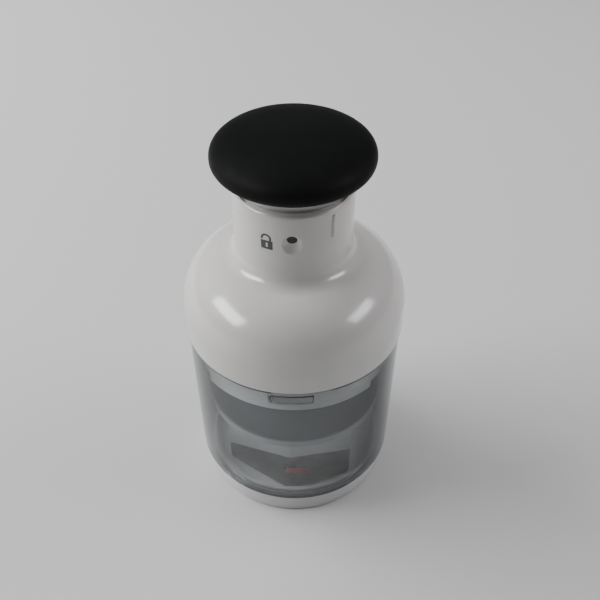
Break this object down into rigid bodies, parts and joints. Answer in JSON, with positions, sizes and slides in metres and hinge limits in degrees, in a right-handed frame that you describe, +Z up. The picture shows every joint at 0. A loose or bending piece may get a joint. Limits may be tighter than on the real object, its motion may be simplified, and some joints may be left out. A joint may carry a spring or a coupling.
{
  "type": "plunger food chopper",
  "caption": "Hand-worked food chopper: a palm knob on a white bottle-shaped housing drives zigzag blades down through a clear cup onto a push-on base.",
  "frame": {"origin": "middle of the foot of the base, on the table", "axes": "+Z up along the plunger, -Y towards the front, where the stop pin is"},
  "size_m": [0.096, 0.096, 0.1824],
  "materials": {
    "white_shell": "gloss",
    "white_inner": "satin",
    "black_grip": "matte",
    "clear_cup": "gloss",
    "pale_base": "satin",
    "blade_steel": "brushed",
    "plated_steel": "satin",
    "dark_trim": "satin",
    "red_clip": "satin",
    "grey_rubber": "matte"
  },
  "bodies": {
    "housing": {"upper_housing": "white_shell", "lower_collar": "white_inner", "bulkhead": "white_inner", "bulkhead_screws": "plated_steel", "drive_nut": "white_inner", "neck_bush": "white_inner", "stop_pin": "dark_trim", "stop_bumper": "grey_rubber", "return_spring": "plated_steel"},
    "plunger": {"plunger_sleeve": "white_shell", "plunger_cap": "white_inner", "spring_cap": "white_inner", "rod_bearing": "white_inner", "knob_screw": "plated_steel"},
    "knob": {"knob_core": "white_shell", "knob_grip": "black_grip"},
    "blades": {"spiral_rod": "plated_steel", "rod_clip": "plated_steel", "blade_carrier": "dark_trim", "carrier_bumper": "grey_rubber", "carrier_screw": "plated_steel", "blade_front": "blade_steel", "blade_rear": "blade_steel", "blade_catch": "red_clip"},
    "cup": {"cup": "clear_cup"},
    "base": {"base": "pale_base", "base_gasket": "grey_rubber"}
  },
  "joints": [
    {"name": "plunge", "type": "slide", "parent": "housing", "child": "plunger", "axis": [0, 0, 1], "range_m": [0, 0.038], "deforming": ["return_spring"]},
    {"name": "knob_lock", "type": "hinge", "parent": "plunger", "child": "knob", "pos_m": [0, 0, 0.16], "axis": [0, 0, 1], "range_deg": [0, 30]},
    {"name": "blade_index", "type": "hinge", "parent": "plunger", "child": "blades", "pos_m": [0, 0, 0.09], "axis": [0, 0, 1], "range_deg": [0, 45.1]},
    {"name": "cup_twist", "type": "hinge", "parent": "housing", "child": "cup", "pos_m": [0, 0, 0.09], "axis": [0, 0, 1], "range_deg": [0, 58]},
    {"name": "base_release", "type": "slide", "parent": "cup", "child": "base", "axis": [0, 0, -1], "range_m": [0, 0.03]}
  ],
  "couplings": [
    {"joint": "blade_index", "follows": "plunge", "rad_per_m": 20.668}
  ]
}
